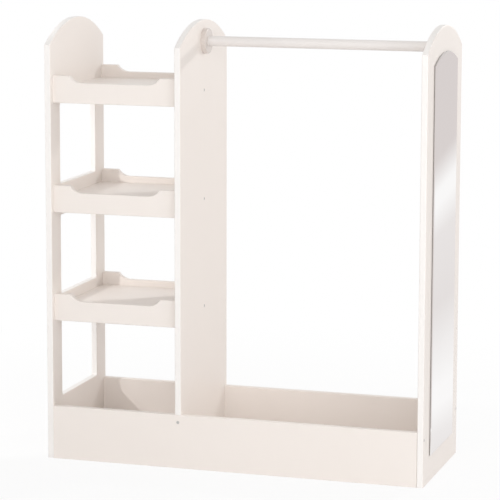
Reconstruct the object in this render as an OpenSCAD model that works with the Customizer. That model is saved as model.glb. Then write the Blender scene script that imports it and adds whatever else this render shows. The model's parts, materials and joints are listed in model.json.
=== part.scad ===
// Children's dress-up storage unit: three arched boards, three scooped trays, a bin along the foot,
// a hanging rod and an arched mirror.
// Millimetres. +X is the mirror's side, the front faces -Y and +Z is up. The origin is on the floor
// under the middle of the whole unit.

/* [Overall] */

// Height to the top of the arched boards
height = 1100; // [1000:10:1400]

// Width across the three upright boards, without the mirror
carcase_width = 968; // [800:4:1300]

// Depth from the front edges to the rear edges
depth = 368; // [300:4:450]

// Thickness of every painted board
board = 16; // [13:0.5:20]

// Rise of the arch at the top of the upright boards
arch_rise = 58; // [30:1:110]

// Radius of the rounded arrises of the painted boards
round_over = 2.5; // [1:0.25:3]

/* [Bin] */

// Height of the front and back of the bin
bin_height = 135; // [110:1:180]

// Thickness of the bin's bottom boards
floor_board = 12; // [9:1:16]

// Width of the cleats that the bottom boards rest on
cleat_width = 18; // [14:1:30]

// Top of the cleats above the floor
cleat_top = 20; // [14:1:30]

// How far the cleats are clear of the floor
cleat_lift = 2; // [1:1:4]

/* [Trays] */

// Clear width between the left and the middle board
tray_bay = 322; // [260:2:400]

// Underside of the lowest tray above the floor
lowest_tray = 350; // [320:5:420]

// Underside of the highest tray below the top of the unit
highest_tray_drop = 203; // [170:1:260]

// Height of a tray rail at its ends
rail_height = 68; // [56:1:82]

// Depth of the scoop in a tray rail
scoop_depth = 17; // [10:1:24]

// Radius of the cove at each end of a scoop
cove_radius = 38; // [30:1:46]

// Width of the full-height part at each end of a rail
ear_width = 43; // [30:1:55]

// How far the front rails are set back from the front edges
rail_setback = 16; // [2:1:30]

// Top of a tray's shelf above the underside of its rails
shelf_top = 35; // [24:1:42]

/* [Windows in the left board] */

// Width of the board left beside the windows
stile = 62; // [50:1:75]

// Inside corner radius of a window
window_corner = 5.5; // [3:0.5:12]

// Sill of each window above the bin, the lowest tray and the middle tray
window_sills = [15, 61, 67]; // [10:1:90]

// Head of each window below the underside of the lowest, the middle and the highest tray
window_heads = [1, 13, 6]; // [1:1:60]

/* [Hanging rod] */

// Diameter of the rod
rod_diameter = 25.4; // [19:0.2:32]

// Centre of the rod below the top of the unit
rod_drop = 53.2; // [45:0.2:90]

// Diameter of the round sockets
socket_diameter = 63; // [54:1:76]

// Thickness of the round sockets
socket_thickness = 13; // [11:0.5:18]

// Thickness left behind the rod in a socket
socket_base = 3; // [2.5:0.5:5]

// Clearance round the rod, on the radius
rod_clearance = 0.08; // [0.05:0.01:0.1]

// Play at each end of the rod
rod_end_play = 0.5; // [0.3:0.1:1]

// Rounded rim of the sockets and chamfer of the rod's ends
rod_edge = 1.5; // [0.5:0.25:2.5]

/* [Mirror] */

// Board left in front of and behind the mirror
mirror_margin = 64; // [50:1:80]

// Bottom edge of the mirror above the floor
mirror_foot = 65; // [50:1:150]

// Top of the mirror below the top of the unit
mirror_drop = 63; // [50:1:120]

// Rise of the arch at the top of the mirror
mirror_rise = 26; // [15:1:45]

// Thickness of the acrylic mirror
mirror_thickness = 3; // [2:0.5:5]

// Width of the polished bevel round the mirror's face
mirror_bevel = 1.5; // [0.5:0.25:2.5]

// Thickness of the foam tape behind it
tape_thickness = 1; // [0.8:0.1:2]

// Width of a strip of tape
tape_width = 24; // [15:1:40]

/* [Fasteners] */

// Diameter of a screw's shank
screw_diameter = 4; // [3:0.5:5]

// Diameter of a screw's countersunk head
head_diameter = 8; // [6.5:0.5:9.5]

// Length of the assembly screws
screw_length = 45; // [38:1:54]

// Length of the screws through the cleats
cleat_screw_length = 28; // [24:1:30]

// Length of the screws in the rod sockets
socket_screw_length = 14; // [11:1:15]

// Width across the flats of the hexagonal socket in a screw's head
key_width = 2.5; // [2:0.25:3]

// Diameter of the wood dowels
dowel_diameter = 8; // [6:1:9]

// Length of the wood dowels
dowel_length = 30; // [24:1:36]

/* [Hidden] */

$fn = 96;

// Clearances, on the radius or face to face
pilot_clearance = 0.1;
hole_clearance = 0.3;
dowel_clearance = 0.05;
floor_clearance = 0.3;
// Cuts run this far past a face
over = 1;

// Upright boards, by their lower-X faces
left_x = -(carcase_width + mirror_thickness + tape_thickness) / 2;
bay_x0 = left_x + board;
middle_x = bay_x0 + tray_bay;
hang_x0 = middle_x + board;
right_x = left_x + carcase_width - board;
outer_x = right_x + board;
middle_centre_x = middle_x + board / 2;

// Depth planes
front_y = -depth / 2;
rear_y = depth / 2;
inner_front_y = front_y + board;
inner_rear_y = rear_y - board;
bin_front_y = front_y + board / 2;
bin_back_y = rear_y - board / 2;
front_rail_y = front_y + rail_setback;
front_rail_centre_y = front_rail_y + board / 2;
back_rail_y = rear_y - board;
back_rail_centre_y = back_rail_y + board / 2;

// Trays
tray_pitch = (height - highest_tray_drop - lowest_tray) / 2;
tray_z = [for (i = [0:2]) lowest_tray + i * tray_pitch];
shelf_centre = shelf_top - board / 2;
rail_screw_z = rail_height - 24;
rail_dowel_z = 14;
cove_width = sqrt(pow(cove_radius, 2) - pow(cove_radius - scoop_depth, 2));
cove_x0 = bay_x0 + ear_width + cove_width;
cove_x1 = middle_x - ear_width - cove_width;

// Windows
window_width = depth - 2 * stile;
window_z0 = [bin_height + window_sills[0], tray_z[0] + window_sills[1], tray_z[1] + window_sills[2]];
window_z1 = [for (i = [0:2]) tray_z[i] - window_heads[i]];

// Rod and sockets
rod_z = height - rod_drop;
cup_depth = socket_thickness - socket_base;
rod_x0 = hang_x0 + socket_base + rod_end_play;
rod_x1 = right_x - socket_base - rod_end_play;

// Mirror
mirror_width = depth - 2 * mirror_margin;
mirror_height = height - mirror_foot - mirror_drop;
tape_foot = 30;
tape_height = mirror_height - mirror_rise - 2 * tape_foot;
tape_spread = mirror_width / 2 - tape_width / 2 - 10;

// Screws and dowels
head_height = (head_diameter - screw_diameter) / 2;
key_depth = 1.6;
bin_screw_z = bin_height - 19;
bin_dowel_z = 40;
dowel_in_face = 10;
dowel_in_end = dowel_length - dowel_in_face;
hole_end_room = 1;
cleat_z = (cleat_lift + cleat_top) / 2;

// Where the screws pass through the upright boards: [y, z]
bin_end_screws = [[bin_front_y, bin_screw_z], [bin_back_y, bin_screw_z]];
rail_screws = [for (z = tray_z) for (y = [front_rail_centre_y, back_rail_centre_y]) [y, z + rail_screw_z]];
shelf_screws = [for (z = tray_z) [0, z + shelf_centre]];
left_screws = concat(bin_end_screws, rail_screws, shelf_screws);
bin_end_dowels = [[bin_front_y, bin_dowel_z], [bin_back_y, bin_dowel_z]];
rail_dowels = [for (z = tray_z) for (y = [front_rail_centre_y, back_rail_centre_y]) [y, z + rail_dowel_z]];
// The middle board shows no rail screws: each has a second dowel in its place there
middle_dowels = concat(rail_dowels, rail_screws);

// Along each bin: screws through the cleats
left_cleat_screws = [bay_x0 + 50, middle_x - 50];
right_cleat_screws = [hang_x0 + 50, (hang_x0 + right_x) / 2, right_x - 50];

white = [0.95, 0.94, 0.92];
steel = [0.6, 0.6, 0.62];
beech = [0.8, 0.66, 0.45];
silver = [0.8, 0.84, 0.87];
grey = [0.35, 0.35, 0.37];

// ---- turning and placing ----

// What lies in the (x, y) plane and is thick along +Z now lies in (y, z) and is thick along +X
module upright(x) {
  translate([x, 0, 0])
    rotate([90, 0, 90])
      children();
}

// What lies in the (x, y) plane and is thick along +Z now lies in (x, z) and is thick from y + board to y
module crosswise(y) {
  translate([0, y + board, 0])
    rotate([90, 0, 0])
      children();
}

// What points along +Z now points along +X, -X, +Y or -Y from a place
module facing_px(p) {
  translate(p)
    rotate([0, 90, 0])
      children();
}

module facing_nx(p) {
  translate(p)
    rotate([0, -90, 0])
      children();
}

module facing_py(p) {
  translate(p)
    rotate([-90, 0, 0])
      children();
}

module facing_ny(p) {
  translate(p)
    rotate([90, 0, 0])
      children();
}

// ---- outlines, as points and arcs in a board's own plane ----

function arch_radius(width, rise) = (pow(width / 2, 2) + pow(rise, 2)) / (2 * rise);

// Straight sides and a circular arch: the foot is at z0, the top is at z1
module arched(width, z0, z1, rise) {
  shoulder = z1 - rise;
  radius = arch_radius(width, rise);
  translate([-width / 2, z0])
    square([width, shoulder - z0]);
  intersection() {
    translate([0, z1 - radius])
      circle(r = radius);
    translate([-width / 2, shoulder - over])
      square([width, rise + 2 * over]);
  }
}

module window(z0, z1) {
  r = window_corner;
  w = window_width;
  translate([-w / 2 + r, z0])
    square([w - 2 * r, z1 - z0]);
  translate([-w / 2, z0 + r])
    square([w, z1 - z0 - 2 * r]);
  for (y = [r - w / 2, w / 2 - r])
    for (z = [z0 + r, z1 - r])
      translate([y, z])
        circle(r = r);
}

// The scoop is flat in the middle and ends in a cove that is tangent to the flat
module rail_outline(z) {
  floor_z = z + rail_height - scoop_depth;
  difference() {
    translate([bay_x0, z])
      square([tray_bay, rail_height]);
    translate([cove_x0, floor_z])
      square([cove_x1 - cove_x0, scoop_depth + over]);
    for (x = [cove_x0, cove_x1])
      translate([x, floor_z + cove_radius])
        circle(r = cove_radius);
  }
}

// ---- arrises: what is cut away along an edge, for a board that lies from z = 0 up ----

// Across the edge: x goes into the board from its edge and y goes into it from its face
module rounded_arris(r) {
  difference() {
    translate([-over, -over])
      square(r + over);
    translate([r, r])
      circle(r = r);
  }
}

module bevelled_arris(r) {
  polygon([[-over, -over], [r + over, -over], [-over, r + over]]);
}

// Along a straight edge that has the board on its left, run on past both ends
module straight_arris(p0, p1, run = 0) {
  step = p1 - p0;
  translate([p0[0], p0[1], 0])
    rotate([0, 0, atan2(step[1], step[0])])
      translate([-run, 0, 0])
        rotate([90, 0, 90])
          linear_extrude(height = norm(step) + 2 * run)
            children();
}

// Along an outer arc, which has the board inside it
module outer_arc_arris(centre, radius, from, to) {
  translate([centre[0], centre[1], 0])
    rotate_extrude(angle = to - from, start = from)
      translate([radius, 0])
        mirror([1, 0])
          children();
}

// Along an inner arc, which has the board outside it
module inner_arc_arris(centre, radius, from, to) {
  translate([centre[0], centre[1], 0])
    rotate_extrude(angle = to - from, start = from)
      translate([radius, 0])
        children();
}

module both_faces(thickness) {
  children();
  translate([0, 0, thickness])
    mirror([0, 0, 1])
      children();
}

// The two sides from a foot and the arch over them
module arched_arris(width, z0, z1, rise, run) {
  shoulder = z1 - rise;
  radius = arch_radius(width, rise);
  half_angle = asin(width / 2 / radius) + 1;
  straight_arris([-width / 2, shoulder], [-width / 2, z0], run)
    children();
  straight_arris([width / 2, z0], [width / 2, shoulder], run)
    children();
  outer_arc_arris([0, z1 - radius], radius, 90 - half_angle, 90 + half_angle)
    children();
}

module window_arris(z0, z1) {
  r = window_corner;
  y = window_width / 2;
  straight_arris([y - r, z0], [r - y, z0])
    children();
  straight_arris([-y, z0 + r], [-y, z1 - r])
    children();
  straight_arris([r - y, z1], [y - r, z1])
    children();
  straight_arris([y, z1 - r], [y, z0 + r])
    children();
  inner_arc_arris([r - y, z0 + r], r, 180, 270)
    children();
  inner_arc_arris([y - r, z0 + r], r, 270, 360)
    children();
  inner_arc_arris([y - r, z1 - r], r, 0, 90)
    children();
  inner_arc_arris([r - y, z1 - r], r, 90, 180)
    children();
}

module rail_arris(z) {
  top_z = z + rail_height;
  floor_z = top_z - scoop_depth;
  centre_z = floor_z + cove_radius;
  turn = acos((cove_radius - scoop_depth) / cove_radius) + 3;
  straight_arris([bay_x0, z], [middle_x, z], over)
    children();
  straight_arris([bay_x0 + ear_width, top_z], [bay_x0, top_z], round_over)
    children();
  straight_arris([middle_x, top_z], [middle_x - ear_width, top_z], round_over)
    children();
  straight_arris([cove_x1, floor_z], [cove_x0, floor_z])
    children();
  inner_arc_arris([cove_x0, centre_z], cove_radius, 270 - turn, 270)
    children();
  inner_arc_arris([cove_x1, centre_z], cove_radius, 270, 270 + turn)
    children();
}

// ---- fasteners and their holes, pointing into the wood along +Z from the head's face ----

module screw(length) {
  difference() {
    union() {
      cylinder(h = head_height, d1 = head_diameter, d2 = screw_diameter);
      translate([0, 0, head_height])
        cylinder(h = length - head_height - screw_diameter / 2, d = screw_diameter);
      translate([0, 0, length - screw_diameter / 2])
        cylinder(h = screw_diameter / 2, d1 = screw_diameter, d2 = screw_diameter / 4);
    }
    translate([0, 0, -over])
      cylinder(h = key_depth + over, d = key_width / cos(30), $fn = 6);
  }
}

// Clearance hole with a countersink, through a board
module screw_hole(thickness) {
  c = hole_clearance;
  translate([0, 0, -over])
    cylinder(h = thickness + 2 * over, d = screw_diameter + 2 * c);
  translate([0, 0, -over])
    cylinder(h = over + 0.1, d = head_diameter + 2 * 0.1);
  translate([0, 0, 0.1])
    cylinder(h = head_height, d1 = head_diameter + 2 * 0.1, d2 = screw_diameter + 2 * 0.1);
}

// Blind hole that a screw bites in; it starts where the board in front of it ends
module pilot(length, thickness) {
  translate([0, 0, thickness - over])
    cylinder(h = length - thickness + over + hole_end_room, d = screw_diameter + 2 * pilot_clearance);
}

// A dowel lies half in a face and half in an end; +Z points into the end
module dowel() {
  chamfer = 1;
  translate([0, 0, -dowel_in_face]) {
    cylinder(h = chamfer, d1 = dowel_diameter - 2 * chamfer, d2 = dowel_diameter);
    translate([0, 0, chamfer])
      cylinder(h = dowel_length - 2 * chamfer, d = dowel_diameter);
    translate([0, 0, dowel_length - chamfer])
      cylinder(h = chamfer, d1 = dowel_diameter, d2 = dowel_diameter - 2 * chamfer);
  }
}

module dowel_hole() {
  translate([0, 0, -dowel_in_face - hole_end_room])
    cylinder(h = dowel_length + 2 * hole_end_room, d = dowel_diameter + 2 * dowel_clearance);
}

// ---- upright boards ----

module left_panel() {
  color(white)
    difference() {
      upright(left_x)
        linear_extrude(height = board)
          difference() {
            arched(depth, 0, height, arch_rise);
            for (i = [0:2])
              window(window_z0[i], window_z1[i]);
          }
      upright(left_x)
        both_faces(board) {
          arched_arris(depth, 0, height, arch_rise, round_over)
            rounded_arris(round_over);
          for (i = [0:2])
            window_arris(window_z0[i], window_z1[i])
              rounded_arris(round_over);
        }
      for (p = left_screws)
        facing_px([left_x, p[0], p[1]])
          screw_hole(board);
      for (p = concat(bin_end_dowels, rail_dowels))
        facing_px([bay_x0, p[0], p[1]])
          dowel_hole();
    }
}

// Stands on the floor between the front and the back of the bin, and is notched over both
module middle_panel() {
  color(white)
    difference() {
      upright(middle_x)
        linear_extrude(height = board)
          difference() {
            arched(depth, 0, height, arch_rise);
            translate([front_y - over, -over])
              square([board + over, bin_height + over]);
            translate([inner_rear_y, -over])
              square([board + over, bin_height + over]);
          }
      upright(middle_x)
        both_faces(board)
          arched_arris(depth, bin_height, height, arch_rise, round_over)
            rounded_arris(round_over);
      for (p = shelf_screws)
        facing_nx([hang_x0, p[0], p[1]])
          screw_hole(board);
      for (p = middle_dowels)
        facing_nx([middle_x, p[0], p[1]])
          dowel_hole();
      facing_nx([hang_x0 + socket_base, 0, rod_z])
        pilot(socket_screw_length, socket_base);
      facing_py([middle_centre_x, front_y, bin_screw_z])
        pilot(screw_length, board);
      facing_ny([middle_centre_x, rear_y, bin_screw_z])
        pilot(screw_length, board);
      facing_py([middle_centre_x, inner_front_y, bin_dowel_z])
        dowel_hole();
      facing_ny([middle_centre_x, inner_rear_y, bin_dowel_z])
        dowel_hole();
    }
}

module right_panel() {
  color(white)
    difference() {
      upright(right_x)
        linear_extrude(height = board)
          arched(depth, 0, height, arch_rise);
      upright(right_x)
        both_faces(board)
          arched_arris(depth, 0, height, arch_rise, round_over)
            rounded_arris(round_over);
      for (p = bin_end_screws)
        facing_nx([outer_x, p[0], p[1]])
          screw_hole(board);
      for (p = bin_end_dowels)
        facing_nx([right_x, p[0], p[1]])
          dowel_hole();
      facing_px([right_x - socket_base, 0, rod_z])
        pilot(socket_screw_length, socket_base);
    }
}

// ---- bin ----

// Front or back of the bin, by its lower-Y face, with its top edge rounded
module bin_board(y) {
  crosswise(y)
    difference() {
      linear_extrude(height = board)
        translate([bay_x0, 0])
          square([right_x - bay_x0, bin_height]);
      both_faces(board)
        straight_arris([right_x, bin_height], [bay_x0, bin_height], over)
          rounded_arris(round_over);
    }
}

// Holes in the ends of a bin board
module bin_end_holes(y) {
  facing_px([left_x, y, bin_screw_z])
    pilot(screw_length, board);
  facing_nx([outer_x, y, bin_screw_z])
    pilot(screw_length, board);
  facing_px([bay_x0, y, bin_dowel_z])
    dowel_hole();
  facing_nx([right_x, y, bin_dowel_z])
    dowel_hole();
}

module front_panel() {
  color(white)
    difference() {
      bin_board(front_y);
      bin_end_holes(bin_front_y);
      facing_py([middle_centre_x, front_y, bin_screw_z])
        screw_hole(board);
      facing_py([middle_centre_x, inner_front_y, bin_dowel_z])
        dowel_hole();
      for (x = concat(left_cleat_screws, right_cleat_screws))
        facing_ny([x, inner_front_y + cleat_width, cleat_z])
          pilot(cleat_screw_length, cleat_width);
    }
}

module back_panel() {
  color(white)
    difference() {
      bin_board(inner_rear_y);
      bin_end_holes(bin_back_y);
      facing_ny([middle_centre_x, rear_y, bin_screw_z])
        screw_hole(board);
      facing_ny([middle_centre_x, inner_rear_y, bin_dowel_z])
        dowel_hole();
      for (x = concat(left_cleat_screws, right_cleat_screws))
        facing_py([x, inner_rear_y - cleat_width, cleat_z])
          pilot(cleat_screw_length, cleat_width);
    }
}

module bin_floor(x0, x1) {
  c = floor_clearance;
  translate([x0 + c, inner_front_y + c, cleat_top])
    cube([x1 - x0 - 2 * c, depth - 2 * board - 2 * c, floor_board]);
}

module left_bin_floor() {
  color(white)
    bin_floor(bay_x0, middle_x);
}

module right_bin_floor() {
  color(white)
    bin_floor(hang_x0, right_x);
}

module cleat(x0, x1, y) {
  c = floor_clearance;
  translate([x0 + c, y, cleat_lift])
    cube([x1 - x0 - 2 * c, cleat_width, cleat_top - cleat_lift]);
}

module front_cleat(x0, x1, places) {
  difference() {
    cleat(x0, x1, inner_front_y);
    for (x = places)
      facing_ny([x, inner_front_y + cleat_width, cleat_z])
        screw_hole(cleat_width);
  }
}

module back_cleat(x0, x1, places) {
  difference() {
    cleat(x0, x1, inner_rear_y - cleat_width);
    for (x = places)
      facing_py([x, inner_rear_y - cleat_width, cleat_z])
        screw_hole(cleat_width);
  }
}

module left_front_cleat() {
  color(beech)
    front_cleat(bay_x0, middle_x, left_cleat_screws);
}

module left_back_cleat() {
  color(beech)
    back_cleat(bay_x0, middle_x, left_cleat_screws);
}

module right_front_cleat() {
  color(beech)
    front_cleat(hang_x0, right_x, right_cleat_screws);
}

module right_back_cleat() {
  color(beech)
    back_cleat(hang_x0, right_x, right_cleat_screws);
}

// ---- trays ----

// A scooped rail by its lower-Y face, for the tray whose underside is at z
module rail(y, z) {
  centre_y = y + board / 2;
  color(white)
    difference() {
      crosswise(y)
        linear_extrude(height = board)
          rail_outline(z);
      crosswise(y)
        both_faces(board)
          rail_arris(z)
            rounded_arris(round_over);
      facing_px([left_x, centre_y, z + rail_screw_z])
        pilot(screw_length, board);
      facing_px([bay_x0, centre_y, z + rail_dowel_z])
        dowel_hole();
      for (dowel_z = [rail_dowel_z, rail_screw_z])
        facing_nx([middle_x, centre_y, z + dowel_z])
          dowel_hole();
    }
}

// A shelf fills the space between its two rails and the two upright boards
module shelf(z) {
  y0 = front_rail_y + board;
  color(white)
    difference() {
      translate([bay_x0, y0, z + shelf_top - board])
        cube([tray_bay, back_rail_y - y0, board]);
      facing_px([left_x, 0, z + shelf_centre])
        pilot(screw_length, board);
      facing_nx([hang_x0, 0, z + shelf_centre])
        pilot(screw_length, board);
    }
}

module lower_tray_front_rail() {
  rail(front_rail_y, tray_z[0]);
}

module lower_tray_back_rail() {
  rail(back_rail_y, tray_z[0]);
}

module lower_tray_shelf() {
  shelf(tray_z[0]);
}

module middle_tray_front_rail() {
  rail(front_rail_y, tray_z[1]);
}

module middle_tray_back_rail() {
  rail(back_rail_y, tray_z[1]);
}

module middle_tray_shelf() {
  shelf(tray_z[1]);
}

module top_tray_front_rail() {
  rail(front_rail_y, tray_z[2]);
}

module top_tray_back_rail() {
  rail(back_rail_y, tray_z[2]);
}

module top_tray_shelf() {
  shelf(tray_z[2]);
}

// ---- hanging rod ----

// A blind cup: the base is at z = 0, the rod goes in from above
module rod_socket() {
  color(white)
    difference() {
      rotate_extrude()
        difference() {
          square([socket_diameter / 2, socket_thickness]);
          translate([socket_diameter / 2, socket_thickness])
            rotate([0, 0, 180])
              rounded_arris(rod_edge);
        }
      translate([0, 0, socket_base])
        cylinder(h = cup_depth + over, d = rod_diameter + 2 * rod_clearance);
      translate([0, 0, socket_base])
        rotate([180, 0, 0])
          screw_hole(socket_base);
    }
}

module left_rod_socket() {
  facing_px([hang_x0, 0, rod_z])
    rod_socket();
}

module right_rod_socket() {
  facing_nx([right_x, 0, rod_z])
    rod_socket();
}

// A dowel with a chamfer at each end
module hanging_rod() {
  length = rod_x1 - rod_x0;
  end_diameter = rod_diameter - 2 * rod_edge;
  color(white)
    facing_px([rod_x0, 0, rod_z]) {
      cylinder(h = rod_edge, d1 = end_diameter, d2 = rod_diameter);
      translate([0, 0, rod_edge])
        cylinder(h = length - 2 * rod_edge, d = rod_diameter);
      translate([0, 0, length - rod_edge])
        cylinder(h = rod_edge, d1 = rod_diameter, d2 = end_diameter);
    }
}

// ---- mirror ----

module mirror_tape() {
  color(grey)
    for (y = [-tape_spread, 0, tape_spread])
      translate([outer_x, y - tape_width / 2, mirror_foot + tape_foot])
        cube([tape_thickness, tape_width, tape_height]);
}

// Only the face that shows is bevelled
module arched_mirror() {
  top_z = mirror_foot + mirror_height;
  half = mirror_width / 2;
  color(silver)
    upright(outer_x + tape_thickness)
      difference() {
        linear_extrude(height = mirror_thickness)
          arched(mirror_width, mirror_foot, top_z, mirror_rise);
        translate([0, 0, mirror_thickness])
          mirror([0, 0, 1]) {
            arched_arris(mirror_width, mirror_foot, top_z, mirror_rise, over + mirror_bevel)
              bevelled_arris(mirror_bevel);
            straight_arris([-half, mirror_foot], [half, mirror_foot], over)
              bevelled_arris(mirror_bevel);
          }
      }
}

// ---- fasteners ----

module left_panel_screws() {
  color(steel)
    for (p = left_screws)
      facing_px([left_x, p[0], p[1]])
        screw(screw_length);
}

module middle_panel_screws() {
  color(steel)
    for (p = shelf_screws)
      facing_nx([hang_x0, p[0], p[1]])
        screw(screw_length);
}

module right_panel_screws() {
  color(steel)
    for (p = bin_end_screws)
      facing_nx([outer_x, p[0], p[1]])
        screw(screw_length);
}

module front_panel_screws() {
  color(steel)
    facing_py([middle_centre_x, front_y, bin_screw_z])
      screw(screw_length);
}

module back_panel_screws() {
  color(steel)
    facing_ny([middle_centre_x, rear_y, bin_screw_z])
      screw(screw_length);
}

module cleat_screws() {
  color(steel)
    for (x = concat(left_cleat_screws, right_cleat_screws)) {
      facing_ny([x, inner_front_y + cleat_width, cleat_z])
        screw(cleat_screw_length);
      facing_py([x, inner_rear_y - cleat_width, cleat_z])
        screw(cleat_screw_length);
    }
}

module socket_screws() {
  color(steel) {
    facing_nx([hang_x0 + socket_base, 0, rod_z])
      screw(socket_screw_length);
    facing_px([right_x - socket_base, 0, rod_z])
      screw(socket_screw_length);
  }
}

module bin_dowels() {
  color(beech) {
    for (p = bin_end_dowels) {
      facing_px([bay_x0, p[0], p[1]])
        dowel();
      facing_nx([right_x, p[0], p[1]])
        dowel();
    }
    facing_py([middle_centre_x, inner_front_y, bin_dowel_z])
      dowel();
    facing_ny([middle_centre_x, inner_rear_y, bin_dowel_z])
      dowel();
  }
}

module tray_dowels() {
  color(beech) {
    for (p = rail_dowels)
      facing_px([bay_x0, p[0], p[1]])
        dowel();
    for (p = middle_dowels)
      facing_nx([middle_x, p[0], p[1]])
        dowel();
  }
}

left_panel();
middle_panel();
right_panel();
front_panel();
back_panel();
left_bin_floor();
right_bin_floor();
left_front_cleat();
left_back_cleat();
right_front_cleat();
right_back_cleat();
lower_tray_front_rail();
lower_tray_back_rail();
lower_tray_shelf();
middle_tray_front_rail();
middle_tray_back_rail();
middle_tray_shelf();
top_tray_front_rail();
top_tray_back_rail();
top_tray_shelf();
left_rod_socket();
right_rod_socket();
hanging_rod();
arched_mirror();
mirror_tape();
left_panel_screws();
middle_panel_screws();
right_panel_screws();
front_panel_screws();
back_panel_screws();
cleat_screws();
socket_screws();
bin_dowels();
tray_dowels();
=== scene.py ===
"""A children's dress-up storage unit: arched boards, scooped trays, a toy bin, a clothes rod and a mirror.

The file is laid out as an add-on and run as a script. Every size is in metres, in the frame of the part:
+X points to the mirror, the front faces -Y, +Z is up, and the origin is on the floor under the unit's middle.
"""

import json
import math

import bpy
from mathutils import Euler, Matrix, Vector


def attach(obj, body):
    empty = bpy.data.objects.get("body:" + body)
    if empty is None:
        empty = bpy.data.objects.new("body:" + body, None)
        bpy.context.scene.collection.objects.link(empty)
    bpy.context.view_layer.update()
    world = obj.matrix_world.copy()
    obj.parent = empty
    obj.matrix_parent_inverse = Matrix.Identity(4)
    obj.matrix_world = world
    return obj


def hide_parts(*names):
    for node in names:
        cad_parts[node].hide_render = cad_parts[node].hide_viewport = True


bl_info = {
    "name": "Dress-up Storage Unit",
    "version": (1, 0, 0),
    "blender": (4, 5, 0),
    "location": "View3D > Sidebar > Dress-up unit",
    "description": "Finishes a children's dress-up storage unit: painted boards, rod, mirror and studio",
    "category": "Object",
}

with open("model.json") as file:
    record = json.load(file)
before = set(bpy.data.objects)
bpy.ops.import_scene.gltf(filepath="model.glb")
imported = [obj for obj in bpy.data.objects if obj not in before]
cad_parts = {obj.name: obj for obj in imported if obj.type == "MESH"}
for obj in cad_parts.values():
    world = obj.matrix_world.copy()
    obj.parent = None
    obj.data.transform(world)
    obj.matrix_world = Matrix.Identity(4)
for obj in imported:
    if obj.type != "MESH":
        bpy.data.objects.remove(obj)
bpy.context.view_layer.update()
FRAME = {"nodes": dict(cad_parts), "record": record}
NODES = FRAME["nodes"]

TRAYS = ("lower", "middle", "top")
UPRIGHTS = ("left_panel", "middle_panel", "right_panel")
BIN_BOARDS = ("front_panel", "back_panel")
BIN_FLOORS = ("left_bin_floor", "right_bin_floor")
CLEATS = ("left_front_cleat", "left_back_cleat", "right_front_cleat", "right_back_cleat")
RAILS = tuple(f"{tray}_tray_{side}_rail" for tray in TRAYS for side in ("front", "back"))
SHELVES = tuple(f"{tray}_tray_shelf" for tray in TRAYS)
SCREWS = ("left_panel_screws", "middle_panel_screws", "right_panel_screws", "front_panel_screws",
          "back_panel_screws", "cleat_screws", "socket_screws")
SOCKETS = ("left_rod_socket", "right_rod_socket")

MM = 0.001
WHITE = (1.0, 1.0, 1.0, 1.0)


# ---- sizes and colours that a user would change ----


class DRESSUP_PG_boards(bpy.types.PropertyGroup):
    """The painted boards."""

    eased_edge: bpy.props.FloatProperty(
        name="Eased edge", description="Sanded edge of the shelves and the bottom boards", default=0.8 * MM,
        min=0.0, max=3 * MM, unit="LENGTH", precision=4)
    paint: bpy.props.FloatVectorProperty(
        name="Paint", description="Colour of the white paint on the faces", default=(0.86, 0.805, 0.765),
        size=3, subtype="COLOR", min=0.0, max=1.0)
    # The uprights' cut edges, told apart by their normals, get this lighter copy of the paint.
    edge_paint: bpy.props.FloatVectorProperty(
        name="Edge paint", description="Colour of the thicker paint on the uprights' cut edges",
        default=(0.895, 0.872, 0.855), size=3, subtype="COLOR", min=0.0, max=1.0)
    roughness: bpy.props.FloatProperty(
        name="Roughness", description="Roughness of the satin paint", default=0.42, min=0.0, max=1.0,
        subtype="FACTOR")


class DRESSUP_PG_rod(bpy.types.PropertyGroup):
    """The clothes rod and its sockets."""

    paint: bpy.props.FloatVectorProperty(
        name="Rod paint", description="Colour of the paint on the rod", default=(0.79, 0.755, 0.735),
        size=3, subtype="COLOR", min=0.0, max=1.0)
    socket_paint: bpy.props.FloatVectorProperty(
        name="Socket paint", description="Colour of the paint on the round sockets",
        default=(0.68, 0.615, 0.575), size=3, subtype="COLOR", min=0.0, max=1.0)


class DRESSUP_PG_mirror(bpy.types.PropertyGroup):
    """The acrylic mirror."""

    silver: bpy.props.FloatVectorProperty(
        name="Silver", description="Tint of the reflection", default=(0.935, 0.92, 0.915),
        size=3, subtype="COLOR", min=0.0, max=1.0)
    # This dark colour also paints a shade line on the mirror's arched bevel.
    edge: bpy.props.FloatVectorProperty(
        name="Edge", description="Colour of the sheet's dark cut edge", default=(0.44, 0.41, 0.39),
        size=3, subtype="COLOR", min=0.0, max=1.0)


class DRESSUP_PG_studio(bpy.types.PropertyGroup):
    """The floor and the lamps."""

    floor_colour: bpy.props.FloatVectorProperty(
        name="Floor", description="Colour of the pale floor", default=(0.86, 0.86, 0.86),
        size=3, subtype="COLOR", min=0.0, max=1.0)
    key_power: bpy.props.FloatProperty(
        name="Key lamp", description="Power of the small lamp at the left of the front", default=12.5,
        min=0.0, max=500.0, unit="POWER")
    rear_power: bpy.props.FloatProperty(
        name="Rear lamp", description="Power of the lamp behind and to the right", default=15.0,
        min=0.0, max=500.0, unit="POWER")
    front_power: bpy.props.FloatProperty(
        name="Front fill", description="Power of the large soft lamp in front", default=44.0,
        min=0.0, max=2000.0, unit="POWER")
    side_power: bpy.props.FloatProperty(
        name="Side fill", description="Power of the large soft lamp on the mirror's side", default=33.0,
        min=0.0, max=2000.0, unit="POWER")
    surroundings: bpy.props.FloatProperty(
        name="Surroundings", description="Strength of the white studio all round", default=0.72,
        min=0.0, max=3.0)


# ---- shader maths ----

# How the nodes are laid out in the node editor
NODES_IN_ROW = 12
NODE_WIDTH = 180
NODE_HEIGHT = 220


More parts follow.
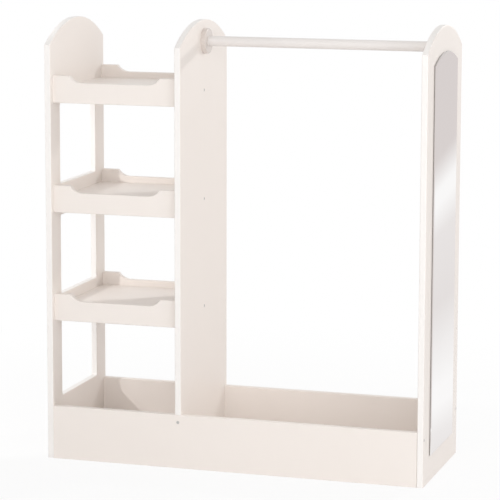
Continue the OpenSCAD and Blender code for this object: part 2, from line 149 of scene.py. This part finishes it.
class Socket:
    """An output of a node that can be used in Python expressions."""

    def __init__(self, shader, output):
        self.shader = shader
        self.output = output

    def calculate(self, operation, first, second):
        return self.shader.node("ShaderNodeMath", {"operation": operation}, {0: first, 1: second})

    def __add__(self, other):
        return self.calculate("ADD", self, other)

    def __radd__(self, other):
        return self.calculate("ADD", other, self)

    def __sub__(self, other):
        return self.calculate("SUBTRACT", self, other)

    def __rsub__(self, other):
        return self.calculate("SUBTRACT", other, self)

    def __mul__(self, other):
        return self.calculate("MULTIPLY", self, other)

    def __rmul__(self, other):
        return self.calculate("MULTIPLY", other, self)

    def __truediv__(self, other):
        return self.calculate("DIVIDE", self, other)

    def __rtruediv__(self, other):
        return self.calculate("DIVIDE", other, self)

    def at_least(self, least):
        return self.calculate("MAXIMUM", self, least)

    def clamp(self):
        return self.shader.node("ShaderNodeClamp", {}, {"Value": self})

    def sibling(self, name):
        """Another output of the same node."""
        return Socket(self.shader, self.output.node.outputs[name])


class Shader:
    """A material, or the world, that is built node by node."""

    def __init__(self, owner):
        self.owner = owner
        owner.use_nodes = True
        self.tree = owner.node_tree
        self.tree.nodes.clear()
        self.count = 0

    def node(self, kind, settings=None, values=None, out=0):
        """Makes a node, sets its settings first and then the values or links of its sockets."""
        node = self.tree.nodes.new(kind)
        row, column = divmod(self.count, NODES_IN_ROW)
        node.location = (NODE_WIDTH * column, -NODE_HEIGHT * row)
        self.count += 1
        for key, value in (settings or {}).items():
            if key == "stops":
                self.set_stops(node.color_ramp, value)
            else:
                setattr(node, key, value)
        for key, value in (values or {}).items():
            if isinstance(value, Socket):
                self.tree.links.new(value.output, node.inputs[key])
            else:
                node.inputs[key].default_value = value
        return Socket(self, node.outputs[out]) if node.outputs else None

    @staticmethod
    def set_stops(ramp, stops):
        while len(ramp.elements) < len(stops):
            ramp.elements.new(0.5)
        for element, (place, colour) in zip(ramp.elements, stops):
            element.position = place
            element.color = colour

    def place(self, stretch=(1.0, 1.0, 1.0)):
        """Object coordinates in metres, times a factor for each axis: a small one draws a pattern out."""
        coords = self.node("ShaderNodeTexCoord", out="Object")
        return self.node("ShaderNodeMapping", {"vector_type": "POINT"}, {"Vector": coords, "Scale": stretch})

    def noise(self, place, scale, detail, rough):
        values = {"Vector": place, "Scale": scale, "Detail": detail, "Roughness": rough}
        return self.node("ShaderNodeTexNoise", {}, values, out="Fac")

    def tint(self, mask, first, second):
        """The first colour where the mask is 0 and the second where it is 1."""
        # A Mix node's sockets 6 and 7 and its output 2 are the ones for colours
        values = {"Factor": mask, 6: (*first, 1.0), 7: (*second, 1.0)}
        return self.node("ShaderNodeMix", {"data_type": "RGBA"}, values, out=2)

    def bump(self, height, strength, distance, normal=None):
        values = {"Height": height, "Strength": strength, "Distance": distance}
        if normal is not None:
            values["Normal"] = normal
        return self.node("ShaderNodeBump", {}, values)

    def mix(self, share, first, second):
        """The first surface where the share is 0 and the second where it is 1."""
        return self.node("ShaderNodeMixShader", {}, {"Fac": share, 1: first, 2: second})

    def principled(self, **values):
        """The surface, with its sockets given by name, and the material's output."""
        named = {key.replace("_", " "): value for key, value in values.items()}
        return self.output("ShaderNodeOutputMaterial", self.node("ShaderNodeBsdfPrincipled", {}, named))

    def output(self, kind, surface):
        self.node(kind, {}, {"Surface": surface})
        return self.owner


def scaled(colour, *factors):
    """A colour times one factor, or times a factor for each of its three values."""
    each = factors if len(factors) == 3 else factors * 3
    return tuple(min(1.0, value * factor) for value, factor in zip(colour, each))


# ---- materials ----


def painted_board(shader, paint, roughness):
    """Satin white paint rolled on board: a fine roller texture, a slow drift of tone and faint rub marks."""
    place = shader.place()
    drift = shader.noise(place, scale=3.1, detail=3.0, rough=0.55)
    cloud = shader.noise(shader.place((1.0, 1.0, 0.35)), scale=17.0, detail=4.0, rough=0.6)
    stipple = shader.noise(place, scale=620.0, detail=3.0, rough=0.55)
    fine = shader.noise(place, scale=2100.0, detail=2.0, rough=0.5)
    rub = shader.noise(shader.place((1.0, 1.0, 0.12)), scale=90.0, detail=3.0, rough=0.7)
    tone = (drift * 0.6 + cloud * 0.4).clamp()
    colour = shader.tint(tone, scaled(paint, 0.972, 0.968, 0.962), scaled(paint, 1.012))
    rough = (cloud - 0.5) * 0.1 + (rub - 0.5) * 0.08 + roughness
    wave = shader.bump(drift, strength=0.12, distance=1.2 * MM)
    normal = shader.bump(stipple * 0.75 + fine * 0.25, strength=0.16, distance=0.25 * MM, normal=wave)
    return shader.principled(Base_Color=colour, Roughness=rough, Normal=normal, IOR=1.48, Coat_Weight=0.12,
                             Coat_Roughness=0.28)


def painted_wood(shader, paint):
    """Brushed white paint on turned wood, with the grain just felt along the rod."""
    grain = shader.noise(shader.place((0.05, 1.0, 1.0)), scale=900.0, detail=4.0, rough=0.6)
    brush = shader.noise(shader.place((0.02, 1.0, 1.0)), scale=2600.0, detail=2.0, rough=0.5)
    drift = shader.noise(shader.place(), scale=9.0, detail=3.0, rough=0.5)
    colour = shader.tint((drift * 0.7 + grain * 0.3).clamp(), scaled(paint, 0.965), paint)
    rough = (grain - 0.5) * 0.1 + 0.32
    normal = shader.bump(grain * 0.7 + brush * 0.3, strength=0.08, distance=0.2 * MM)
    return shader.principled(Base_Color=colour, Roughness=rough, Normal=normal, IOR=1.5, Coat_Weight=0.6,
                             Coat_Roughness=0.12)


def mirror_face(shader, silver):
    """Acrylic mirror: a clear reflection with the slight waviness of thin sheet, smears and dust."""
    wave = shader.noise(shader.place((1.0, 1.0, 0.5)), scale=5.0, detail=1.0, rough=0.4)
    dust = shader.noise(shader.place(), scale=1400.0, detail=3.0, rough=0.75)
    smear = shader.noise(shader.place((1.0, 1.0, 0.3)), scale=22.0, detail=4.0, rough=0.65)
    colour = shader.tint(smear, scaled(silver, 0.985), silver)
    rough = (smear - 0.45).clamp() * 0.1 + (dust - 0.62).clamp() * 0.25 + 0.015
    normal = shader.bump(wave, strength=0.05, distance=0.6 * MM)
    return shader.principled(Base_Color=colour, Metallic=1.0, Roughness=rough, Normal=normal)


def mirror_edge(shader, edge):
    """The cut edge of the sheet: clear acrylic over dark backing paint. On the arched bevel the same dark
    finish is a painted shade line.
    """
    streak = shader.noise(shader.place((1.0, 1.0, 0.05)), scale=700.0, detail=3.0, rough=0.6)
    colour = shader.tint(streak, scaled(edge, 0.8), edge)
    normal = shader.bump(streak, strength=0.2, distance=0.2 * MM)
    return shader.principled(Base_Color=colour, Roughness=0.22 + 0.12 * streak, Normal=normal, IOR=1.49,
                             Coat_Weight=0.5, Coat_Roughness=0.08)


def screw_steel(shader):
    """Zinc-plated steel."""
    fleck = shader.noise(shader.place(), scale=2400.0, detail=3.0, rough=0.6)
    colour = shader.tint(fleck, (0.47, 0.455, 0.445), (0.7, 0.685, 0.67))
    normal = shader.bump(fleck, strength=0.25, distance=0.1 * MM)
    return shader.principled(Base_Color=colour, Metallic=1.0, Roughness=0.28 + 0.16 * fleck, Normal=normal)


def beech(shader, ring_stretch, ray_stretch):
    """Raw beech. Both stretches are small along the grain, which draws its growth rings and its rays out."""
    ring = shader.noise(shader.place(ring_stretch), scale=260.0, detail=4.0, rough=0.65)
    ray = shader.noise(shader.place(ray_stretch), scale=1500.0, detail=2.0, rough=0.6)
    mask = (ring * 0.75 + (ray - 0.45).clamp() * 1.2).clamp()
    colour = shader.tint(mask, (0.66, 0.47, 0.29), (0.47, 0.29, 0.16))
    normal = shader.bump(ring, strength=0.3, distance=0.4 * MM)
    return shader.principled(Base_Color=colour, Roughness=0.55 + 0.15 * ring, Normal=normal)


def foam_tape(shader):
    """Dark closed-cell foam."""
    values = {"Vector": shader.place(), "Scale": 2600.0}
    cell = shader.node("ShaderNodeTexVoronoi", {}, values, out="Distance")
    colour = shader.tint(cell, (0.03, 0.03, 0.032), (0.075, 0.075, 0.08))
    normal = shader.bump(cell, strength=0.5, distance=0.2 * MM)
    return shader.principled(Base_Color=colour, Roughness=0.8 + 0.1 * cell, Normal=normal)


# The mirror, like all glossy rays, sees a painted reflection on the floor: glowing bands that fan out from
# one point of it, in X and Y. Nearer to it in Y than FAN_START they stop narrowing. Each band has its slope,
# which is its distance from the point in X for each metre in Y, and its brightness, from grey (0) to white
# (1).
FAN_POINT = (0.83, -1.73)
FAN_START = 0.6
PAINTED_REFLECTION_STREAKS = (
    (-0.2, 0.35),
    (-0.117, 0.6),
    (-0.072, 1.0),
    (-0.048, 1.0),
    (0.0, 0.7),
    (0.041, 0.34),
    (0.092, 0.46),
    (0.11, 1.0),
    (0.118, 1.0),
    (0.134, 0.0),
)
# The glow of the painted reflection where a band's brightness is 0
PAINTED_REFLECTION_GREY = (0.72, 0.675, 0.665, 1.0)

# Two distances from the unit's middle. Beyond SHADOW_END the camera sees plain white. Within SHADOW_START it
# sees only this share of white, and the rest is the lit paper, which shows the unit's shadow.
SHADOW_START = 0.5
SHADOW_END = 1.8
WHITE_NEAR_UNIT = 0.88


def ramp_place(slope):
    """Slopes from -1/4 to 1/4 fill a ramp, which runs from 0 to 1."""
    return slope * 2.0 + 0.5


def studio_floor(shader, colour):
    """A pale floor that the camera sees as white, but for the unit's shadow, and the mirror as a glowing
    painted reflection.
    """
    place = shader.place()
    fleck = shader.noise(place, scale=4.0, detail=2.0, rough=0.5)
    tone = shader.tint(fleck, scaled(colour, 0.985), colour)
    paper = shader.node("ShaderNodeBsdfPrincipled", {}, {
        "Base Color": tone, "Roughness": 0.75 + 0.05 * fleck, "Specular IOR Level": 0.2})
    white = shader.node("ShaderNodeEmission", {}, {"Color": WHITE, "Strength": 1.0})
    grey = shader.node("ShaderNodeEmission", {}, {"Color": PAINTED_REFLECTION_GREY, "Strength": 1.0})

    across = shader.node("ShaderNodeSeparateXYZ", {}, {0: place}, out="X")
    ahead = (across.sibling("Y") - FAN_POINT[1]).at_least(FAN_START)
    slope = (across - FAN_POINT[0]) / ahead
    stops = [(ramp_place(at), (bright, bright, bright, 1.0)) for at, bright in PAINTED_REFLECTION_STREAKS]
    # Each point's brightness in the painted reflection, read from its slope
    streak = shader.node("ShaderNodeValToRGB", {"stops": stops}, {"Fac": ramp_place(slope)}, out="Color")
    painted_reflection = shader.mix(streak, grey, white)

    camera = shader.node("ShaderNodeLightPath", out="Is Camera Ray")
    glossy = camera.sibling("Is Glossy Ray")
    distance = shader.node("ShaderNodeVectorMath", {"operation": "LENGTH"}, {0: place}, out="Value")
    whiteness = shader.node("ShaderNodeMapRange", {"interpolation_type": "SMOOTHSTEP"}, {
        "Value": distance, "From Min": SHADOW_START, "From Max": SHADOW_END, "To Min": WHITE_NEAR_UNIT,
        "To Max": 1.0})
    # Glossy rays see the glowing painted reflection. The camera sees mostly white, and the other rays the lit
    # paper.
    white_or_painted_reflection = shader.mix(glossy, white, painted_reflection)
    seen = shader.mix(camera * whiteness + glossy, paper, white_or_painted_reflection)
    return shader.output("ShaderNodeOutputMaterial", seen)


MATERIALS = {}


def material(name, make, *values):
    """Each finish is made once and shared."""
    if name not in MATERIALS:
        MATERIALS[name] = make(Shader(bpy.data.materials.new(name)), *values)
    return MATERIALS[name]


def board_paint():
    boards = bpy.context.scene.dressup_boards
    return material("painted_board", painted_board, tuple(boards.paint), boards.roughness)


def edge_paint():
    boards = bpy.context.scene.dressup_boards
    return material("painted_edge", painted_board, tuple(boards.edge_paint), boards.roughness)


def rod_paint():
    return material("painted_rod", painted_wood, tuple(bpy.context.scene.dressup_rod.paint))


def socket_paint():
    return material("painted_socket", painted_wood, tuple(bpy.context.scene.dressup_rod.socket_paint))


def beech_along_x():
    return material("beech_x", beech, (0.06, 1.0, 1.0), (0.4, 1.0, 1.0))


def beech_along_y():
    return material("beech_y", beech, (1.0, 0.06, 1.0), (1.0, 0.4, 1.0))


# ---- modelling ----

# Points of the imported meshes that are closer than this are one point
MERGE_DISTANCE = 0.004 * MM
# Triangles that turn by less than this belong to one flat face, in degrees
FLAT_ANGLE = 0.4
# Corners that turn by more than this are eased, in degrees
EASED_ANGLE = 60
# Edges that turn by more than this stay sharp, in degrees: on painted parts, and on the mirror
PAINT_ANGLE = 40
MIRROR_ANGLE = 20
# A normal's least X, to either side, on an upright's faces. On its cut edges it is less.
FACE_X = 0.6
# A normal's least X on the mirror's bevel, and on its flat
MIRROR_BEVEL_X = 0.5
MIRROR_FLAT_X = 0.9
# A normal's least Z on the arched part of the mirror's bevel, which gets the dark edge finish as a painted
# shade line
MIRROR_ARCH_Z = 0.1


def deselect():
    bpy.ops.object.select_all(action="DESELECT")


def activate(piece):
    deselect()
    piece.select_set(True)
    bpy.context.view_layer.objects.active = piece


def dress(piece, *finishes):
    piece.data.materials.clear()
    for finish in finishes:
        piece.data.materials.append(finish)


def modify(piece, kind, name, **settings):
    """Adds a modifier, sets it and applies it."""
    activate(piece)
    modifier = piece.modifiers.new(name, kind)
    for key, value in settings.items():
        setattr(modifier, key, value)
    bpy.ops.object.modifier_apply(modifier=modifier.name)


def smooth(piece, degrees):
    """Rounded parts are smooth, and flat faces stay flat up to where they begin to turn."""
    activate(piece)
    bpy.ops.object.shade_smooth_by_angle(angle=math.radians(degrees))
    modify(piece, "WEIGHTED_NORMAL", "flats", mode="FACE_AREA", weight=80, keep_sharp=True)


def merged_copy(node, name, flat=False):
    """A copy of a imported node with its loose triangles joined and, if asked, its flat faces made whole."""
    piece = NODES[node].copy()
    piece.data = NODES[node].data.copy()
    piece.parent = None
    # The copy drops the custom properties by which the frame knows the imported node
    for key in list(piece.keys()):
        del piece[key]
    piece.name = name
    piece.data.name = name
    bpy.context.scene.collection.objects.link(piece)
    activate(piece)
    bpy.ops.object.mode_set(mode="EDIT")
    bpy.ops.mesh.select_all(action="SELECT")
    bpy.ops.mesh.customdata_custom_splitnormals_clear()
    bpy.ops.mesh.remove_doubles(threshold=MERGE_DISTANCE)
    if flat:
        bpy.ops.mesh.dissolve_limited(angle_limit=math.radians(FLAT_ANGLE))
    bpy.ops.object.mode_set(mode="OBJECT")
    return piece


def finish_piece(piece, node):
    """Rides on the node's body and stands for the node, which is hidden."""
    bodies = FRAME["record"]["behaviour"]["bodies"]
    body = next(name for name, members in bodies.items() if node in members)
    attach(piece, body)
    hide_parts(node)


class DressupOperator:
    """What the operators share."""

    bl_options = {"REGISTER", "UNDO"}

    @classmethod
    def poll(cls, context):
        return context.mode == "OBJECT"


class DRESSUP_OT_boards(DressupOperator, bpy.types.Operator):
    """Finish every painted board: arched uprights, bin, trays and bottom boards."""

    bl_idname = "dressup.boards"
    bl_label = "Painted boards"

    def execute(self, context):
        for node in UPRIGHTS:
            piece = self.painted(node)
            dress(piece, board_paint(), edge_paint())
            # Faces of an upright that look along X less than FACE_X, its cut edges, take the lighter copy of
            # the paint.
            for face in piece.data.polygons:
                face.material_index = int(abs(face.normal.x) < FACE_X)
        for node in (*BIN_BOARDS, *RAILS):
            dress(self.painted(node), board_paint())
        for node in (*SHELVES, *BIN_FLOORS):
            dress(self.eased(node, context.scene.dressup_boards.eased_edge), board_paint())
        return {"FINISHED"}

    @staticmethod
    def painted(node):
        """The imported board, whose rounded edges are in its mesh."""
        piece = merged_copy(node, node + "_painted")
        smooth(piece, PAINT_ANGLE)
        finish_piece(piece, node)
        return piece

    @staticmethod
    def eased(node, edge):
        """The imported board, whose sharp edges get their sanded round here."""
        piece = merged_copy(node, node + "_painted", flat=True)
        modify(piece, "BEVEL", "eased_edge", width=edge, segments=2, limit_method="ANGLE",
               angle_limit=math.radians(EASED_ANGLE), use_clamp_overlap=True)
        smooth(piece, PAINT_ANGLE)
        finish_piece(piece, node)
        return piece


class DRESSUP_OT_hanging_rod(DressupOperator, bpy.types.Operator):
    """Finish the clothes rod and its two round sockets."""

    bl_idname = "dressup.hanging_rod"
    bl_label = "Rod and sockets"

    def execute(self, context):
        self.painted("hanging_rod", rod_paint())
        for socket in SOCKETS:
            self.painted(socket, socket_paint())
        return {"FINISHED"}

    @staticmethod
    def painted(node, paint):
        piece = merged_copy(node, node + "_painted")
        dress(piece, paint)
        smooth(piece, PAINT_ANGLE)
        finish_piece(piece, node)


class DRESSUP_OT_mirror(DressupOperator, bpy.types.Operator):
    """Finish the arched mirror with its polished bevel, whose arched part gets a painted shade line."""

    bl_idname = "dressup.mirror"
    bl_label = "Mirror"

    def execute(self, context):
        settings = context.scene.dressup_mirror
        piece = merged_copy("arched_mirror", "arched_mirror_polished")
        dress(piece, material("mirror_face", mirror_face, tuple(settings.silver)),
              material("mirror_edge", mirror_edge, tuple(settings.edge)))
        for face in piece.data.polygons:
            face.material_index = int(self.is_edge_or_painted_shade(face.normal))
        smooth(piece, MIRROR_ANGLE)
        finish_piece(piece, "arched_mirror")
        return {"FINISHED"}

    @staticmethod
    def is_edge_or_painted_shade(normal):
        """Dark: the cut edge, the back, and the arched bevel as a painted shade line. The rest is silver."""
        return normal.x < MIRROR_BEVEL_X or (normal.x < MIRROR_FLAT_X and normal.z > MIRROR_ARCH_Z)


class DRESSUP_OT_hardware(DressupOperator, bpy.types.Operator):
    """Give the screws, dowels, cleats and tape their finishes."""

    bl_idname = "dressup.hardware"
    bl_label = "Fasteners and hidden parts"

    def execute(self, context):
        for node in SCREWS:
            dress(NODES[node], material("screw_steel", screw_steel))
        for node in (*CLEATS, "tray_dowels"):
            dress(NODES[node], beech_along_x())
        dress(NODES["bin_dowels"], beech_along_y())
        dress(NODES["mirror_tape"], material("foam_tape", foam_tape))
        return {"FINISHED"}


# ---- studio ----

FLOOR_RADIUS = 14.0
FLOOR_SIDES = 96

# The lamps face the unit's middle, but for the key lamp, which faces the trays from beyond the left board
UNIT_MIDDLE = (0.0, 0.0, 0.5)
TRAYS_MIDDLE = (-0.31, 0.0, 0.6)
# Each lamp's name, its place, what it faces, its size and the setting that holds its power
LAMPS = (
    ("key_lamp", (-1.62, -0.95, 1.25), TRAYS_MIDDLE, 0.06, "key_power"),
    ("rear_lamp", (1.5, 2.1, 1.6), UNIT_MIDDLE, 0.15, "rear_power"),
    ("front_fill", (0.9, -4.2, 1.5), UNIT_MIDDLE, 3.0, "front_power"),
    ("side_fill", (3.5, -2.9, 1.3), UNIT_MIDDLE, 2.5, "side_power"),
)
SKY_TINT = (1.0, 0.985, 0.97, 1.0)

# The card between the key lamp and the front, which stands on the floor: its size, its middle and its turn in
# degrees from the X axis. It turns clockwise from above, as transform.rotate does with no window.
FLAG_WIDTH = 0.8
FLAG_HEIGHT = 1.185
FLAG_PLACE = (-0.82, -0.88, FLAG_HEIGHT / 2)
FLAG_TURN = 55

# The photograph's camera: place, turns in degrees, lens and sensor in mm, shift as a part of the frame
CAMERA_PLACE = (1.731, -5.578, 1.49)
CAMERA_TURN = (81.6, -0.13, 17.37)
CAMERA_LENS = 170.3
CAMERA_SENSOR = 36.0
CAMERA_SHIFT_Y = -0.08
CAMERA_NEAR = 0.05
CAMERA_FAR = 60.0


class DRESSUP_OT_studio(DressupOperator, bpy.types.Operator):
    """Lay the pale floor, light the unit softly and set the camera."""

    bl_idname = "dressup.studio"
    bl_label = "Studio"

    def execute(self, context):
        studio = context.scene.dressup_studio
        self.floor(studio)
        self.lamps(studio)
        self.flag()
        self.surroundings(context, studio)
        self.camera(context)
        context.scene.view_settings.view_transform = "Standard"
        return {"FINISHED"}

    @staticmethod
    def floor(studio):
        deselect()
        bpy.ops.mesh.primitive_circle_add(vertices=FLOOR_SIDES, radius=FLOOR_RADIUS, fill_type="NGON",
                                          location=(0, 0, 0))
        floor = bpy.context.object
        floor.name = "studio_floor"
        dress(floor, material("studio_floor", studio_floor, tuple(studio.floor_colour)))

    @staticmethod
    def lamps(studio):
        for name, place, aim, size, power in LAMPS:
            deselect()
            bpy.ops.object.light_add(type="AREA", location=place)
            lamp = bpy.context.object
            lamp.name = name
            lamp.data.shape = "DISK"
            lamp.data.size = size
            lamp.data.energy = getattr(studio, power)
            lamp.visible_camera = False
            lamp.rotation_euler = (Vector(aim) - Vector(place)).to_track_quat("-Z", "Y").to_euler()

    @staticmethod
    def flag():
        """A card that no view shows and that keeps the key lamp off the fronts.

        The lamp's light passes behind it, through the left board's windows and on to the trays.
        """
        deselect()
        bpy.ops.mesh.primitive_plane_add(size=1.0, location=(0, 0, 0))
        flag = bpy.context.object
        flag.name = "studio_flag"
        bpy.ops.transform.resize(value=(FLAG_WIDTH, FLAG_HEIGHT, 1.0))
        bpy.ops.transform.rotate(value=math.radians(90), orient_axis="X", center_override=(0, 0, 0))
        bpy.ops.transform.rotate(value=math.radians(FLAG_TURN), orient_axis="Z", center_override=(0, 0, 0))
        bpy.ops.transform.translate(value=FLAG_PLACE)
        bpy.ops.object.transform_apply(location=True, rotation=True, scale=True)
        dress(flag, board_paint())
        flag.visible_camera = False
        flag.visible_diffuse = False
        flag.visible_glossy = False
        flag.visible_transmission = False

    @staticmethod
    def surroundings(context, studio):
        """White for the camera and the mirror, and an even, slightly warm light for all else."""
        world = bpy.data.worlds.new("studio")
        context.scene.world = world
        shader = Shader(world)
        camera = shader.node("ShaderNodeLightPath", out="Is Camera Ray")
        seen = camera.at_least(camera.sibling("Is Glossy Ray"))
        light = shader.node("ShaderNodeBackground", {}, {"Color": SKY_TINT, "Strength": studio.surroundings})
        white = shader.node("ShaderNodeBackground", {}, {"Color": WHITE, "Strength": 1.0})
        shader.output("ShaderNodeOutputWorld", shader.mix(seen, light, white))

    @staticmethod
    def camera(context):
        data = bpy.data.cameras.new("photo_camera")
        data.lens = CAMERA_LENS
        data.sensor_width = CAMERA_SENSOR
        data.shift_y = CAMERA_SHIFT_Y
        data.clip_start = CAMERA_NEAR
        data.clip_end = CAMERA_FAR
        camera = bpy.data.objects.new("photo_camera", data)
        camera.location = CAMERA_PLACE
        camera.rotation_euler = Euler([math.radians(turn) for turn in CAMERA_TURN], "XYZ")
        context.scene.collection.objects.link(camera)
        context.scene.camera = camera


# ---- add-on ----

GROUPS = {
    "dressup_boards": DRESSUP_PG_boards,
    "dressup_rod": DRESSUP_PG_rod,
    "dressup_mirror": DRESSUP_PG_mirror,
    "dressup_studio": DRESSUP_PG_studio,
}
OPERATORS = (
    DRESSUP_OT_boards,
    DRESSUP_OT_hanging_rod,
    DRESSUP_OT_mirror,
    DRESSUP_OT_hardware,
    DRESSUP_OT_studio,
)


class DRESSUP_PT_sidebar(bpy.types.Panel):
    """Lists the sizes, the colours and the steps."""

    bl_idname = "DRESSUP_PT_sidebar"
    bl_label = "Dress-up unit"
    bl_space_type = "VIEW_3D"
    bl_region_type = "UI"
    bl_category = "Dress-up unit"

    def draw(self, context):
        for name, group in GROUPS.items():
            column = self.layout.column(align=True)
            for key in group.__annotations__:
                column.prop(getattr(context.scene, name), key)
        column = self.layout.column(align=True)
        for operator in OPERATORS:
            column.operator(operator.bl_idname)


CLASSES = (*GROUPS.values(), *OPERATORS, DRESSUP_PT_sidebar)


def register():
    for cls in CLASSES:
        bpy.utils.register_class(cls)
    for name, group in GROUPS.items():
        setattr(bpy.types.Scene, name, bpy.props.PointerProperty(type=group))


def unregister():
    for name in GROUPS:
        delattr(bpy.types.Scene, name)
    for cls in reversed(CLASSES):
        bpy.utils.unregister_class(cls)


def main():
    register()
    for operator in OPERATORS:
        group, name = operator.bl_idname.split(".")
        getattr(getattr(bpy.ops, group), name)()


if __name__ == "__main__":
    main()
